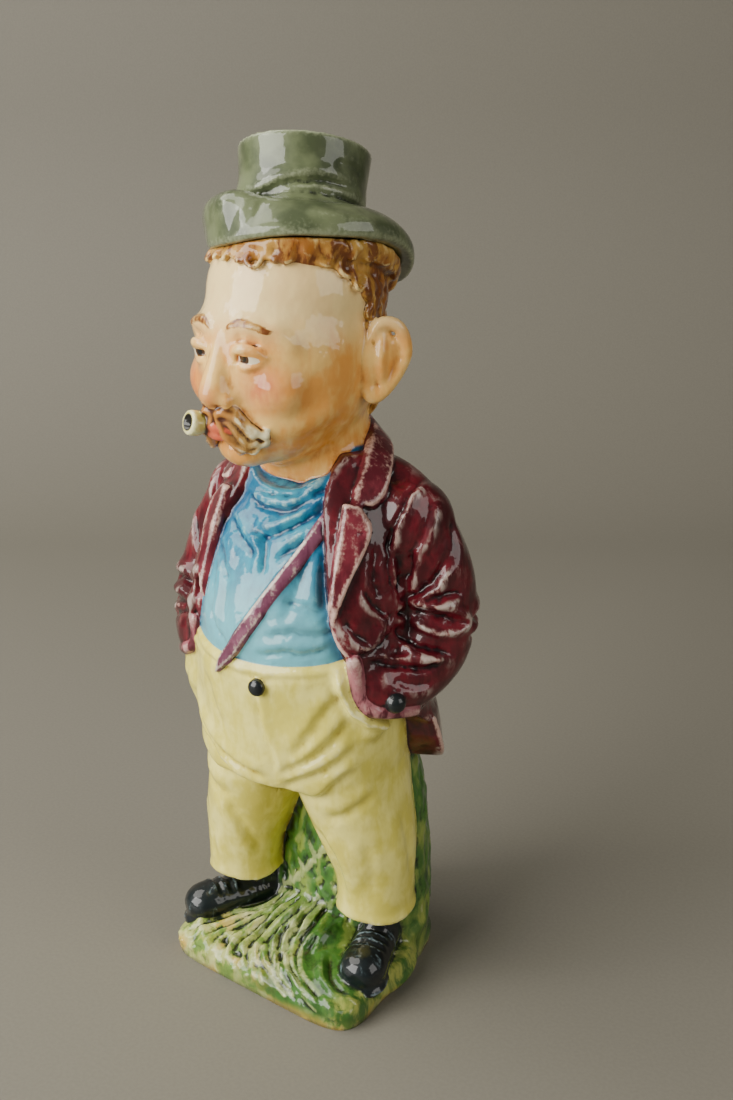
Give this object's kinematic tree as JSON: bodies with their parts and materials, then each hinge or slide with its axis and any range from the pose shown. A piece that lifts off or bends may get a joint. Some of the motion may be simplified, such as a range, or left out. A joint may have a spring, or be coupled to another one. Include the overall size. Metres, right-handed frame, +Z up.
{
  "type": "figural bottle",
  "caption": "Hollow glazed ceramic bottle shaped as a standing stout man with his hands in his pockets; his tipped hat lifts off as the stopper.",
  "frame": {"origin": "centre of the flat underside of the base, on the surface that it stands on", "axes": "+Z up, the figure faces -Y and its left side is +X"},
  "size_m": [0.1296, 0.0969, 0.3291],
  "materials": {
    "majolica_glaze": "gloss",
    "hat_glaze": "gloss"
  },
  "bodies": {
    "root": {"figure_bottle": "majolica_glaze", "hat_stopper": "hat_glaze"}
  },
  "joints": []
}
